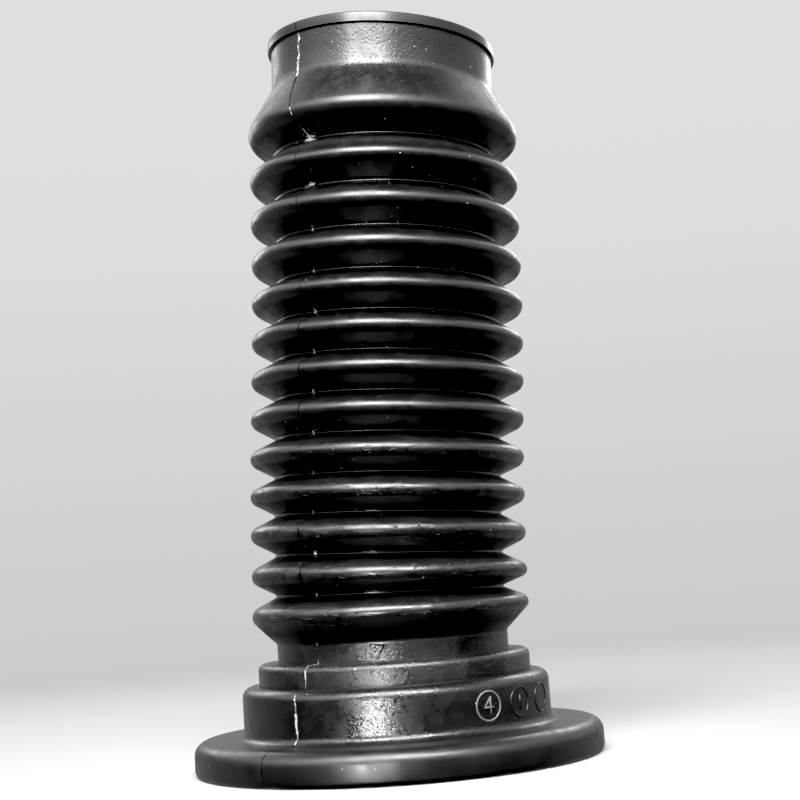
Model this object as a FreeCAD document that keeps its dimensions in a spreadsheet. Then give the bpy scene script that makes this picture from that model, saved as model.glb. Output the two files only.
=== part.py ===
"""Rubber bellows boot for a strut, moulded in one piece and open right through.

The boot stands on its flange with its axis on +Z, and the origin is the centre of the flange's flat face.
From the bottom up it has the flange that a coil spring bears on, the collar and the step that seat in the
spring's end, a short neck, a column of equal folds, a larger shoulder fold, and a cuff that ends in a rim.

Each stretch of wall is a closed section turned about the axis. A section has an outer and an inner line, and
both are belts: straight runs that are tangent to the arcs between them. At a fold both arcs have one centre,
so the wall keeps its thickness round the bend. One fold is drawn, and a pattern repeats it.
"""

import FreeCAD, Part
import math
import os
import re

import Sketcher

# Driving dimensions, in millimetres
SIZES = {
    "crest_radius": 39.0,
    "crest_round": 2.7,
    "fold_depth": 6.8,
    "valley_round": 0.6,
    "fold_pitch": 11.1,
    "fold_count": 12,
    "fold_wall": 2.0,
    "neck_height": 4.9,
    "neck_round": 0.8,
    "neck_stand": 0.3,
    "last_flank_rise": 7.9,
    "step_height": 6.1,
    "step_ledge": 5.7,
    "step_round": 1.9,
    "collar_height": 14.0,
    "collar_ledge": 4.8,
    "collar_round": 2.8,
    "collar_foot_round": 2.2,
    "flange_thickness": 9.0,
    "flange_overhang": 14.0,
    "flange_round": 3.6,
    "flange_foot_round": 1.5,
    "base_wall": 3.0,
    "socket_round": 0.8,
    "top_flank_rise": 7.2,
    "shoulder_rise": 6.7,
    "shoulder_stand": 0.2,
    "shoulder_round": 4.0,
    "cone_rise": 14.2,
    "cone_depth": 6.9,
    "cone_round": 5.0,
    "cuff_height": 10.0,
    "cuff_wall": 2.5,
    "rim_stand": 0.9,
    "rim_thickness": 2.8,
    "rim_round": 0.5,
}

# Radii from the axis, each worked out from the folds' crests
VALLEY_RADIUS = "crest_radius - fold_depth"
NECK_RADIUS = f"{VALLEY_RADIUS} + neck_stand"
STEP_RADIUS = f"{NECK_RADIUS} + step_ledge"
COLLAR_RADIUS = f"{STEP_RADIUS} + collar_ledge"
FLANGE_RADIUS = f"{COLLAR_RADIUS} + flange_overhang"
SHOULDER_RADIUS = "crest_radius + shoulder_stand"
CUFF_RADIUS = f"{SHOULDER_RADIUS} - cone_depth"
RIM_RADIUS = f"{CUFF_RADIUS} + rim_stand"

# Heights above the flange's flat face, as sums of the sizes
COLLAR_TOP = "flange_thickness + collar_height"
STEP_TOP = f"{COLLAR_TOP} + step_height"
NECK_TOP = f"{STEP_TOP} + neck_height"
LOWEST_CREST = f"{NECK_TOP} + last_flank_rise"
HIGHEST_CREST = f"{LOWEST_CREST} + (fold_count - 1) * fold_pitch"
TOP_VALLEY = f"{HIGHEST_CREST} + top_flank_rise"
SHOULDER_CREST = f"{TOP_VALLEY} + shoulder_rise"
CONE_TOP = f"{SHOULDER_CREST} + cone_rise"
RIM_FOOT = f"{CONE_TOP} + cuff_height"
BOOT_TOP = f"{RIM_FOOT} + rim_thickness"

# The side of the upward belt that an arc's centre lies on
BULGE = 1
HOLLOW = -1

START = 1
END = 2
CENTRE = 3


def sheet_of(doc):
    """The spreadsheet that holds every driving dimension, one alias for each."""
    sheet = doc.addObject("Spreadsheet::Sheet", "Sizes")
    for row, (name, size) in enumerate(SIZES.items(), start=1):
        sheet.set(f"A{row}", name)
        sheet.set(f"B{row}", str(size))
        sheet.setAlias(f"B{row}", name)
    doc.recompute()
    return sheet


def on_sheet(formula):
    """The formula with each size's name written as the sheet's own cell."""
    return re.sub(r"[a-z_]+", lambda name: f"Sizes.{name.group()}", str(formula))


def value_of(sheet, formula):
    """The number that a formula has with the sheet's present sizes."""
    return float(sheet.evalExpression(on_sheet(formula)))


def bulge(x, z, radius):
    """An arc that bulges away from the axis, given by its centre and radius."""
    return x, z, radius, BULGE


def hollow(x, z, radius):
    """An arc that is hollow towards the axis, given by its centre and radius."""
    return x, z, radius, HOLLOW


def corner(x, z):
    """A sharp corner."""
    return x, z, 0, BULGE


def direction_between(first, second):
    """The unit direction of the straight run that leaves one arc and meets the next at a tangent."""
    dx, dz = second[0] - first[0], second[1] - first[1]
    offset = second[3] * second[2] - first[3] * first[2]
    squared = dx * dx + dz * dz
    along = math.sqrt(squared - offset * offset)
    return (along * dx + offset * dz) / squared, (along * dz - offset * dx) / squared


def touch(peg, direction):
    """The point where a run in that direction touches the arc, or the corner itself."""
    x, z, radius, side = peg
    return x + side * radius * direction[1], z - side * radius * direction[0]


def bind_place(sketch, element, vertex, peg):
    """Ties a point's distance from the axis and its height to the sheet."""
    for kind, formula in (("DistanceX", peg[0]), ("DistanceY", peg[1])):
        if formula == 0:
            sketch.addConstraint(Sketcher.Constraint("PointOnObject", element, vertex, -1))
            continue
        size = value_of(sketch.Document.Sizes, formula)
        index = sketch.addConstraint(Sketcher.Constraint(kind, -1, START, element, vertex, size))
        sketch.setExpression(f"Constraints[{index}]", on_sheet(formula))


def draw_arc(sketch, peg, place, arrive, leave):
    """One arc of a belt, bound to the sheet, with the vertices by which the belt arrives and leaves."""
    x, z, radius, side = place
    ends = (arrive, leave) if side == BULGE else (leave, arrive)
    angles = [math.atan2(end[1] - z, end[0] - x) for end in ends]
    circle = Part.Circle(FreeCAD.Vector(x, z, 0), FreeCAD.Vector(0, 0, 1), radius)
    arc = sketch.addGeometry(Part.ArcOfCircle(circle, *angles), False)
    bind_place(sketch, arc, CENTRE, peg)
    index = sketch.addConstraint(Sketcher.Constraint("Radius", arc, radius))
    sketch.setExpression(f"Constraints[{index}]", on_sheet(peg[2]))
    return (arc, START, END) if side == BULGE else (arc, END, START)


def draw_belt(sketch, pegs):
    """Draws the arcs and straight runs of one side of a wall, from the bottom up.

    A belt that begins or ends on an arc does so level with the arc's centre. Returns the belt's first and last
    vertex, each as its element and the vertex's number, with its place.
    """
    sheet = sketch.Document.Sizes
    places = [(*(value_of(sheet, size) for size in peg[:3]), peg[3]) for peg in pegs]
    runs = [direction_between(first, second) for first, second in zip(places, places[1:])]
    level = (0.0, 1.0)
    arrivals = [touch(place, run) for place, run in zip(places, [level, *runs])]
    leavings = [touch(place, run) for place, run in zip(places, [*runs, level])]
    arcs = {}
    for index, (peg, place) in enumerate(zip(pegs, places)):
        if place[2] > 0:
            arcs[index] = draw_arc(sketch, peg, place, arrivals[index], leavings[index])
    lines = []
    for start, end in zip(leavings, arrivals[1:]):
        segment = Part.LineSegment(FreeCAD.Vector(*start, 0), FreeCAD.Vector(*end, 0))
        lines.append(sketch.addGeometry(segment, False))
    for index, peg in enumerate(pegs):
        before = (lines[index - 1], END) if index > 0 else None
        after = (lines[index], START) if index < len(lines) else None
        join_peg(sketch, peg, arcs.get(index), before, after)
    first = arcs[0][:2] if 0 in arcs else (lines[0], START)
    last = (arcs[len(pegs) - 1][0], arcs[len(pegs) - 1][2]) if len(pegs) - 1 in arcs else (lines[-1], END)
    return (first, arrivals[0]), (last, leavings[-1])


def join_peg(sketch, peg, arc, before, after):
    """Joins the runs on each side of a peg: tangent to its arc, or meeting at its corner."""
    if arc is None:
        if before and after:
            sketch.addConstraint(Sketcher.Constraint("Coincident", *before, *after))
        bind_place(sketch, *(after or before), peg)
        return
    element, arrival, leaving = arc
    for run, vertex in ((before, arrival), (after, leaving)):
        if run:
            sketch.addConstraint(Sketcher.Constraint("Tangent", *run, element, vertex))
        else:
            sketch.addConstraint(Sketcher.Constraint("Horizontal", element, CENTRE, element, vertex))


def wall_section(body, name, outer, inner):
    """A sketch of one stretch of wall: its outer and inner belts, closed by a straight line at each end."""
    sketch = body.newObject("Sketcher::SketchObject", name)
    plane = next(item for item in body.Origin.OriginFeatures if item.Role == "XZ_Plane")
    sketch.AttachmentSupport = [(plane, "")]
    sketch.MapMode = "FlatFace"
    sides = [draw_belt(sketch, pegs) for pegs in (outer, inner)]
    for (outside, outer_place), (inside, inner_place) in zip(*sides):
        segment = Part.LineSegment(FreeCAD.Vector(*outer_place, 0), FreeCAD.Vector(*inner_place, 0))
        line = sketch.addGeometry(segment, False)
        sketch.addConstraint(Sketcher.Constraint("Coincident", *outside, line, START))
        sketch.addConstraint(Sketcher.Constraint("Coincident", *inside, line, END))
    return sketch


def turned(body, name, outer, inner):
    """A wall section turned once round the axis."""
    sketch = wall_section(body, f"{name}_section", outer, inner)
    turn = body.newObject("PartDesign::Revolution", name)
    turn.Profile = sketch
    turn.ReferenceAxis = (sketch, ["V_Axis"])
    turn.Angle = 360.0
    body.Document.recompute()
    return turn


def crest(height, shrink="0"):
    """The round top of a fold, at that height and that far inside the outer surface."""
    return bulge("crest_radius - crest_round", height, f"crest_round - {shrink}")


def valley(height, grow="0"):
    """The round bottom between two folds, at that height and that far inside the outer surface."""
    return hollow(f"{VALLEY_RADIUS} + valley_round", height, f"valley_round + {grow}")


def base(body):
    """The flange, the collar, the step and the neck, as far as the middle of the lowest fold."""
    outer = [
        corner(f"{COLLAR_RADIUS} - base_wall / 2", 0),
        bulge(f"{FLANGE_RADIUS} - flange_foot_round", "flange_foot_round", "flange_foot_round"),
        bulge(f"{FLANGE_RADIUS} - flange_round", "flange_thickness - flange_round", "flange_round"),
        hollow(f"{COLLAR_RADIUS} + collar_foot_round", "flange_thickness + collar_foot_round",
               "collar_foot_round"),
        bulge(f"{COLLAR_RADIUS} - collar_round", f"{COLLAR_TOP} - collar_round", "collar_round"),
        corner(STEP_RADIUS, COLLAR_TOP),
        bulge(f"{STEP_RADIUS} - step_round", f"{STEP_TOP} - step_round", "step_round"),
        corner(NECK_RADIUS, STEP_TOP),
        hollow(f"{NECK_RADIUS} + neck_round", NECK_TOP, "neck_round"),
        crest(LOWEST_CREST),
    ]
    inner = [
        corner(f"{COLLAR_RADIUS} - base_wall", 0),
        bulge(f"{COLLAR_RADIUS} - base_wall - socket_round", f"{COLLAR_TOP} - base_wall - socket_round",
              "socket_round"),
        corner(f"{STEP_RADIUS} - base_wall", f"{COLLAR_TOP} - base_wall"),
        bulge(f"{STEP_RADIUS} - base_wall - socket_round", f"{STEP_TOP} - base_wall - socket_round",
              "socket_round"),
        corner(f"{NECK_RADIUS} - fold_wall", f"{STEP_TOP} - base_wall"),
        hollow(f"{NECK_RADIUS} + neck_round", NECK_TOP, "neck_round + fold_wall"),
        crest(LOWEST_CREST, "fold_wall"),
    ]
    return turned(body, "base", outer, inner)


def folds(body):
    """The column of folds: one stretch from crest to crest, repeated up to the highest crest."""
    next_crest = f"{LOWEST_CREST} + fold_pitch"
    middle = f"{LOWEST_CREST} + fold_pitch / 2"
    outer = [crest(LOWEST_CREST), valley(middle), crest(next_crest)]
    inner = [
        crest(LOWEST_CREST, "fold_wall"),
        valley(middle, "fold_wall"),
        crest(next_crest, "fold_wall"),
    ]
    fold = turned(body, "fold", outer, inner)
    pattern = body.newObject("PartDesign::LinearPattern", "fold_column")
    pattern.Originals = [fold]
    axis = next(item for item in body.Origin.OriginFeatures if item.Role == "Z_Axis")
    pattern.Direction = (axis, [""])
    pattern.Mode = "Spacing"
    pattern.setExpression("Offset", on_sheet("fold_pitch"))
    pattern.setExpression("Occurrences", on_sheet("fold_count - 1"))
    body.Tip = pattern
    body.Document.recompute()
    return pattern


def top(body):
    """The upper half of the highest fold, the shoulder fold, its cone, the cuff and the rim."""
    cone_centre = f"{CUFF_RADIUS} + cone_round"
    outer = [
        crest(HIGHEST_CREST),
        valley(TOP_VALLEY),
        bulge(f"{SHOULDER_RADIUS} - shoulder_round", SHOULDER_CREST, "shoulder_round"),
        hollow(cone_centre, CONE_TOP, "cone_round"),
        corner(CUFF_RADIUS, RIM_FOOT),
        corner(RIM_RADIUS, RIM_FOOT),
        bulge(f"{RIM_RADIUS} - rim_round", f"{BOOT_TOP} - rim_round", "rim_round"),
        corner(f"{CUFF_RADIUS} - cuff_wall / 2", BOOT_TOP),
    ]
    inner = [
        crest(HIGHEST_CREST, "fold_wall"),
        valley(TOP_VALLEY, "fold_wall"),
        bulge(f"{SHOULDER_RADIUS} - shoulder_round", SHOULDER_CREST, "shoulder_round - fold_wall"),
        hollow(cone_centre, CONE_TOP, "cone_round + cuff_wall"),
        corner(f"{CUFF_RADIUS} - cuff_wall", BOOT_TOP),
    ]
    return turned(body, "top", outer, inner)


def check(doc, body):
    """Stops the build if a feature failed or the solid isn't one sound closed piece."""
    for item in doc.Objects:
        if "Invalid" in item.State or "Error" in item.State:
            raise RuntimeError(f"{item.Name} failed: {item.State}")
        if item.TypeId == "Sketcher::SketchObject" and item.solve() != 0:
            raise RuntimeError(f"{item.Name} has no solution")
    shape = body.Shape
    if shape.isNull() or not shape.isValid() or len(shape.Solids) != 1:
        raise RuntimeError(f"{body.Label} isn't one valid solid")


def main():
    """Builds the boot and writes its STEP file."""
    doc = FreeCAD.newDocument("bellows_boot")
    sheet_of(doc)
    body = doc.addObject("PartDesign::Body", "Boot")
    body.Label = "bellows_boot"
    base(body)
    folds(body)
    top(body)
    doc.recompute()
    check(doc, body)
    os.makedirs("parts", exist_ok=True)
    body.Shape.exportStep(f"parts/{body.Label}.step")
    box = body.Shape.BoundBox
    print(f"{body.Label}: {box.XLength:.2f} x {box.YLength:.2f} x {box.ZLength:.2f} mm,",
          f"{body.Shape.Volume / 1000:.1f} cm3, {len(body.Shape.Faces)} faces")


main()
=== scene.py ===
"""The rubber bellows boot, dressed and set up for its studio picture.

The boot is one moulding, so one skin stands for it: the wall's section turned about the axis, then
given the small lean of a soft boot that stands on its own flange. The moulder's traces are pieces of
their own that lie on the skin: the torn flash along both parting lines, the three round insert marks on
the collar and the flow mark on the neck.

Lengths are in metres. An azimuth is counted from the front, which faces -Y, and grows towards +X.
"""

from __future__ import annotations

import logging
import math
from abc import ABC, abstractmethod
from dataclasses import dataclass
from enum import Enum, IntEnum
from typing import Any

import bmesh
import bpy
from mathutils import Matrix, Vector, noise


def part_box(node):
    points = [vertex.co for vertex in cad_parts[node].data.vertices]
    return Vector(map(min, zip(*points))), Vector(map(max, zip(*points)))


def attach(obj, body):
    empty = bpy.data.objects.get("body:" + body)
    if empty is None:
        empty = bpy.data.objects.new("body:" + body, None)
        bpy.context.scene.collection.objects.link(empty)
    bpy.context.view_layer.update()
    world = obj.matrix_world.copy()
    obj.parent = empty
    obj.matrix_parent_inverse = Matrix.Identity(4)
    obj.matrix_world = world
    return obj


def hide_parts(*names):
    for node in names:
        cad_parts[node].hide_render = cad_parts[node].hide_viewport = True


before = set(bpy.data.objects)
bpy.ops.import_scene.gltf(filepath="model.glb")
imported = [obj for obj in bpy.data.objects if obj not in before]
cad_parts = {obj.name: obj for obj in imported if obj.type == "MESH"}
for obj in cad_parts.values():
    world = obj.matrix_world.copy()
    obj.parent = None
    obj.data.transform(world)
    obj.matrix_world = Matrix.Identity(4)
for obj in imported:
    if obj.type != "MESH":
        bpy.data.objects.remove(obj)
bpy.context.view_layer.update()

LOG = logging.getLogger("bellows_boot")
NODE = "bellows_boot"
BODY = "root"

RUN_LAYER = "round_and_up"
ZONE_LAYER = "zones"
TORN_LAYER = "torn"
ROD_SIDES = 8

Span = tuple[float, float]
Stroke = tuple[Span, Span]
Place = tuple[float, float, float]


class Side(IntEnum):
    """The side of the upward section line on which a round's centre lies."""

    BULGE = 1
    HOLLOW = -1


class Zone(Enum):
    """The stretches of the wall that are finished differently."""

    CREST = 0
    VALLEY = 1
    PLAIN = 2


@dataclass(frozen=True)
class Peg:
    """A round, or with no radius a sharp corner, that the section line bends round."""

    radius: float
    height: float
    round: float = 0.0
    side: Side = Side.BULGE


def smoothstep(low: float, high: float, value: float) -> float:
    """A smooth rise from 0 at low to 1 at high."""
    share = min(1.0, max(0.0, (value - low) / (high - low)))
    return share * share * (3.0 - 2.0 * share)


def rise_past(level: float, span: Span, value: float) -> float:
    """A smooth rise from 0 to 1 over a span that is counted from a level."""
    return smoothstep(level + span[0], level + span[1], value)


def polar(azimuth: float, radius: float, height: float) -> Vector:
    """The place at an azimuth in radians, a radius and a height."""
    return Vector((radius * math.sin(azimuth), -radius * math.cos(azimuth), height))


def azimuth_of(place: Vector) -> float:
    """The azimuth in radians of a place, counted from the front."""
    return math.atan2(place.x, -place.y)


def spin_round(mesh: bmesh.types.BMesh, angle: float, steps: int) -> None:
    """Turns all that a mesh holds about +Z, and joins it up after a whole turn.

    Args:
        mesh: The mesh, which holds one section line.
        angle: The angle in radians.
        steps: The number of steps.
    """
    bmesh.ops.spin(
        mesh,
        geom=mesh.verts[:] + mesh.edges[:],
        cent=(0.0, 0.0, 0.0),
        axis=(0.0, 0.0, 1.0),
        angle=angle,
        steps=steps,
        use_merge=angle >= math.tau,
        use_duplicate=False,
    )


def add_rod(
    mesh: bmesh.types.BMesh, start: Vector, end: Vector, radii: Span, extra: float = 0.0
) -> list[bmesh.types.BMVert]:
    """Adds a straight rod, which tapers where its two radii differ.

    Args:
        mesh: The mesh that it is added to.
        start: The middle of its first end.
        end: The middle of its other end.
        radii: The radius at each end.
        extra: How much longer it is than that, shared by its ends.

    Returns:
        The rod's vertices.
    """
    along = end - start
    turn = along.to_track_quat("Z", "Y").to_matrix().to_4x4()
    made = bmesh.ops.create_cone(
        mesh,
        cap_ends=True,
        segments=ROD_SIDES,
        radius1=radii[0],
        radius2=radii[1],
        depth=along.length + extra,
        matrix=Matrix.Translation((start + end) / 2.0) @ turn,
    )
    return made["verts"]


def shade_smooth(mesh: bmesh.types.BMesh) -> None:
    """Turns the faces outward and shades them smooth."""
    bmesh.ops.recalc_face_normals(mesh, faces=mesh.faces)
    for face in mesh.faces:
        face.smooth = True


def add_object(name: str, mesh: bmesh.types.BMesh) -> bpy.types.Object:
    """Puts a finished mesh into the scene.

    Args:
        name: The object's name.
        mesh: The mesh, which is freed.

    Returns:
        The object.
    """
    data = bpy.data.meshes.new(name)
    mesh.to_mesh(data)
    mesh.free()
    made = bpy.data.objects.new(name, data)
    bpy.context.scene.collection.objects.link(made)
    return made


class Pen:
    """Draws a section line as a wire, in the plane of +X and +Z."""

    ARC_STEP = math.radians(15.0)

    def __init__(
        self, mesh: bmesh.types.BMesh, radius: float, height: float, stride: float
    ) -> None:
        """Starts the wire at one vertex.

        Args:
            mesh: The mesh that the wire is drawn in.
            radius: The first point's distance from the axis.
            height: The first point's height.
            stride: The length of a piece of a straight run.
        """
        self.mesh = mesh
        self.stride = stride
        self.trail = [mesh.verts.new((radius, 0.0, height))]

    def line_to(self, radius: float, height: float) -> None:
        """Draws a straight run in pieces of even length.

        Args:
            radius: The run's end, from the axis.
            height: The height of the run's end.
        """
        start, end = self.trail[-1].co.copy(), Vector((radius, 0.0, height))
        pieces = max(1, round((end - start).length / self.stride))
        for piece in range(1, pieces + 1):
            grown = bmesh.ops.extrude_vert_indiv(self.mesh, verts=[self.trail[-1]])
            self.trail.append(grown["verts"][0])
            self.trail[-1].co = start.lerp(end, piece / pieces)

    def arc(self, radius: float, height: float, turn: float) -> None:
        """Draws an arc about a centre.

        Args:
            radius: The centre's distance from the axis.
            height: The centre's height.
            turn: The angle turned through, positive from +X towards +Z.
        """
        pieces = max(2, round(abs(turn) / self.ARC_STEP))
        for _ in range(pieces):
            grown = bmesh.ops.spin(
                self.mesh,
                geom=[self.trail[-1]],
                cent=(radius, 0.0, height),
                axis=(0.0, -1.0, 0.0),
                angle=turn / pieces,
                steps=1,
                use_duplicate=False,
            )
            last = grown["geom_last"]
            self.trail.append(next(item for item in last if isinstance(item, bmesh.types.BMVert)))


class Belt:
    """A section line round pegs: arcs on the rounds, and straight runs at a tangent between them."""

    def __init__(self, pegs: list[Peg]) -> None:
        """Works out the runs between the pegs, which are given from the bottom up."""
        self.pegs = pegs
        self.runs = [self._run(first, second) for first, second in zip(pegs, pegs[1:])]

    @staticmethod
    def _run(first: Peg, second: Peg) -> Span:
        """The straight run between two pegs.

        Args:
            first: The lower peg.
            second: The next peg.

        Returns:
            The run's unit direction, outward and upward.
        """
        across = second.radius - first.radius
        rise = second.height - first.height
        offset = second.side * second.round - first.side * first.round
        squared = across * across + rise * rise
        along = math.sqrt(squared - offset * offset)
        outward = (along * across + offset * rise) / squared
        return outward, (along * rise - offset * across) / squared

    @staticmethod
    def _touch(peg: Peg, run: Span) -> Span:
        """Where a run in that direction touches the peg."""
        reach = peg.side * peg.round
        return peg.radius + reach * run[1], peg.height - reach * run[0]

    @staticmethod
    def _turn(before: Span, after: Span, peg: Peg) -> float:
        """The signed angle from one run to the next round a peg."""
        turn = math.atan2(after[1], after[0]) - math.atan2(before[1], before[0])
        return peg.side * ((peg.side * turn) % math.tau)

    def draw(self, mesh: bmesh.types.BMesh, stride: float) -> list[bmesh.types.BMVert]:
        """Draws the belt as a wire.

        Args:
            mesh: The mesh to draw in.
            stride: The length of a piece of a straight run.

        Returns:
            The wire's vertices in order, from the bottom up.
        """
        pen = Pen(mesh, *self._touch(self.pegs[0], self.runs[0]), stride)
        for index, run in enumerate(self.runs):
            peg = self.pegs[index + 1]
            pen.line_to(*self._touch(peg, run))
            if peg.round > 0.0 and index + 1 < len(self.runs):
                pen.arc(peg.radius, peg.height, self._turn(run, self.runs[index + 1], peg))
        return pen.trail


@dataclass(frozen=True)
class Wall:
    """The moulding's sizes and the pegs of its outer and inner section lines."""

    flange_radius: float
    boot_height: float
    flange_thickness: float = 0.0090
    flange_round: float = 0.0036
    flange_foot_round: float = 0.0015
    collar_radius: float = 0.0430
    collar_height: float = 0.0140
    collar_round: float = 0.0028
    collar_foot_round: float = 0.0022
    step_radius: float = 0.0382
    step_height: float = 0.0061
    step_round: float = 0.0019
    base_wall: float = 0.0030
    socket_round: float = 0.0008
    neck_radius: float = 0.0325
    neck_height: float = 0.0049
    neck_round: float = 0.0008
    last_flank_rise: float = 0.0079
    crest_radius: float = 0.0390
    crest_round: float = 0.0027
    valley_radius: float = 0.0322
    valley_round: float = 0.0006
    fold_pitch: float = 0.0111
    fold_count: int = 12
    fold_wall: float = 0.0020
    top_flank_rise: float = 0.0072
    shoulder_rise: float = 0.0067
    shoulder_radius: float = 0.0392
    shoulder_round: float = 0.0040
    cone_rise: float = 0.0142
    cone_round: float = 0.0050
    cuff_radius: float = 0.0323
    cuff_wall: float = 0.0025
    rim_radius: float = 0.0332
    rim_thickness: float = 0.0028
    rim_round: float = 0.0005

    @property
    def collar_top(self) -> float:
        """The height of the collar's top."""
        return self.flange_thickness + self.collar_height

    @property
    def step_top(self) -> float:
        """The height of the step's top, where the neck starts."""
        return self.collar_top + self.step_height

    @property
    def neck_top(self) -> float:
        """The height of the neck's top, where the folds start."""
        return self.step_top + self.neck_height

    @property
    def crests(self) -> list[float]:
        """The heights of the folds' crests, from the lowest up."""
        lowest = self.neck_top + self.last_flank_rise
        return [lowest + index * self.fold_pitch for index in range(self.fold_count)]

    @property
    def valleys(self) -> list[float]:
        """The heights of the valleys above each crest."""
        between = [crest + self.fold_pitch / 2.0 for crest in self.crests[:-1]]
        return [*between, self.crests[-1] + self.top_flank_rise]

    @property
    def shoulder_crest(self) -> float:
        """The height of the shoulder fold's crest."""
        return self.valleys[-1] + self.shoulder_rise

    @property
    def cone_top(self) -> float:
        """The height at which the cone ends and the cuff starts."""
        return self.shoulder_crest + self.cone_rise

    @property
    def rim_foot(self) -> float:
        """The height of the rim's lower edge."""
        return self.boot_height - self.rim_thickness

    def fold_pegs(self, depth: float) -> list[Peg]:
        """The pegs of the folds and the shoulder.

        Args:
            depth: How far inside the outer surface the line runs.

        Returns:
            The pegs from the lowest crest to the shoulder's.
        """
        pegs: list[Peg] = []
        crest_centre = self.crest_radius - self.crest_round
        valley_centre = self.valley_radius + self.valley_round
        for crest, valley in zip(self.crests, self.valleys):
            pegs.append(Peg(crest_centre, crest, self.crest_round - depth))
            pegs.append(Peg(valley_centre, valley, self.valley_round + depth, Side.HOLLOW))
        shoulder_centre = self.shoulder_radius - self.shoulder_round
        pegs.append(Peg(shoulder_centre, self.shoulder_crest, self.shoulder_round - depth))
        return pegs

    def outer_pegs(self) -> list[Peg]:
        """The pegs of the outer line.

        Returns:
            The pegs from under the collar's wall to the middle of the rim's top.
        """
        foot, edge, fillet = self.flange_foot_round, self.flange_round, self.collar_foot_round
        collar, step, rim = self.collar_round, self.step_round, self.rim_round
        return [
            Peg(self.collar_radius - self.base_wall / 2.0, 0.0),
            Peg(self.flange_radius - foot, foot, foot),
            Peg(self.flange_radius - edge, self.flange_thickness - edge, edge),
            Peg(self.collar_radius + fillet, self.flange_thickness + fillet, fillet, Side.HOLLOW),
            Peg(self.collar_radius - collar, self.collar_top - collar, collar),
            Peg(self.step_radius, self.collar_top),
            Peg(self.step_radius - step, self.step_top - step, step),
            Peg(self.neck_radius, self.step_top),
            Peg(self.neck_radius + self.neck_round, self.neck_top, self.neck_round, Side.HOLLOW),
            *self.fold_pegs(0.0),
            Peg(self.cuff_radius + self.cone_round, self.cone_top, self.cone_round, Side.HOLLOW),
            Peg(self.cuff_radius, self.rim_foot),
            Peg(self.rim_radius, self.rim_foot),
            Peg(self.rim_radius - rim, self.boot_height - rim, rim),
            Peg(self.cuff_radius - self.cuff_wall / 2.0, self.boot_height),
        ]

    def inner_pegs(self) -> list[Peg]:
        """The pegs of the inner line.

        Returns:
            The pegs from the socket's mouth to the bore's mouth in the cuff.
        """
        corner = self.socket_round
        socket, seat = self.collar_radius - self.base_wall, self.step_radius - self.base_wall
        neck, cone = self.neck_round + self.fold_wall, self.cone_round + self.cuff_wall
        return [
            Peg(socket, 0.0),
            Peg(socket - corner, self.collar_top - self.base_wall - corner, corner),
            Peg(seat, self.collar_top - self.base_wall),
            Peg(seat - corner, self.step_top - self.base_wall - corner, corner),
            Peg(self.neck_radius - self.fold_wall, self.step_top - self.base_wall),
            Peg(self.neck_radius + self.neck_round, self.neck_top, neck, Side.HOLLOW),
            *self.fold_pegs(self.fold_wall),
            Peg(self.cuff_radius + self.cone_round, self.cone_top, cone, Side.HOLLOW),
            Peg(self.cuff_radius - self.cuff_wall, self.boot_height),
        ]


@dataclass(frozen=True)
class Ease:
    """A smooth curve through a few points, level at its ends and without overshoot."""

    points: tuple[Span, ...]

    def _slope(self, index: int) -> float:
        """The curve's slope at one of its points.

        Args:
            index: The point's number.

        Returns:
            None at an end or where the curve turns back, and otherwise a mean of its two sides.
        """
        if index in (0, len(self.points) - 1):
            return 0.0
        (x0, y0), (x1, y1), (x2, y2) = self.points[index - 1:index + 2]
        before, after = (y1 - y0) / (x1 - x0), (y2 - y1) / (x2 - x1)
        return 2.0 * before * after / (before + after) if before * after > 0.0 else 0.0

    def at(self, place: float) -> float:
        """The curve's value.

        Args:
            place: Where it is read.

        Returns:
            The value there, which beyond the ends is that of the end.
        """
        if place <= self.points[0][0]:
            return self.points[0][1]
        if place >= self.points[-1][0]:
            return self.points[-1][1]
        index = next(i for i, point in enumerate(self.points) if point[0] > place) - 1
        (x0, y0), (x1, y1) = self.points[index:index + 2]
        width = x1 - x0
        share = (place - x0) / width
        bend = self._slope(index) * width * share * (1.0 - share) ** 2
        bend -= self._slope(index + 1) * width * share ** 2 * (1.0 - share)
        return y0 + (y1 - y0) * share * share * (3.0 - 2.0 * share) + bend


@dataclass(frozen=True)
class Stance:
    """The way in which the soft boot stands, by the height on the straight moulding.

    The base lies flat. Above it the lowest folds are pressed together on one side, so that the column
    leans a little towards +X, and the middle folds have sunk a little under the upper ones' weight.
    """

    tip_degrees: Ease = Ease(
        ((0.037, 0.0), (0.060, 2.8), (0.085, 3.2), (0.130, 3.8), (0.180, 3.9), (0.205, 5.5))
    )
    shift: Ease = Ease((
        (0.037, 0.0), (0.060, 0.0007), (0.085, 0.0019), (0.130, 0.0048),
        (0.180, 0.0069), (0.205, 0.0080),
    ))
    sink: Ease = Ease((
        (0.042, 0.0), (0.053, 0.0010), (0.070, 0.0013), (0.086, 0.0020),
        (0.108, 0.0022), (0.131, 0.0024), (0.153, 0.0012), (0.164, 0.0),
    ))

    def place(self, point: Vector) -> Vector:
        """Where a point comes to lie.

        Args:
            point: The point on the straight moulding.

        Returns:
            The same point on the boot as it stands.
        """
        tip = math.radians(self.tip_degrees.at(point.z))
        return Vector((
            point.x * math.cos(tip) + self.shift.at(point.z),
            point.y,
            point.z - self.sink.at(point.z) - point.x * math.sin(tip),
        ))


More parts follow.
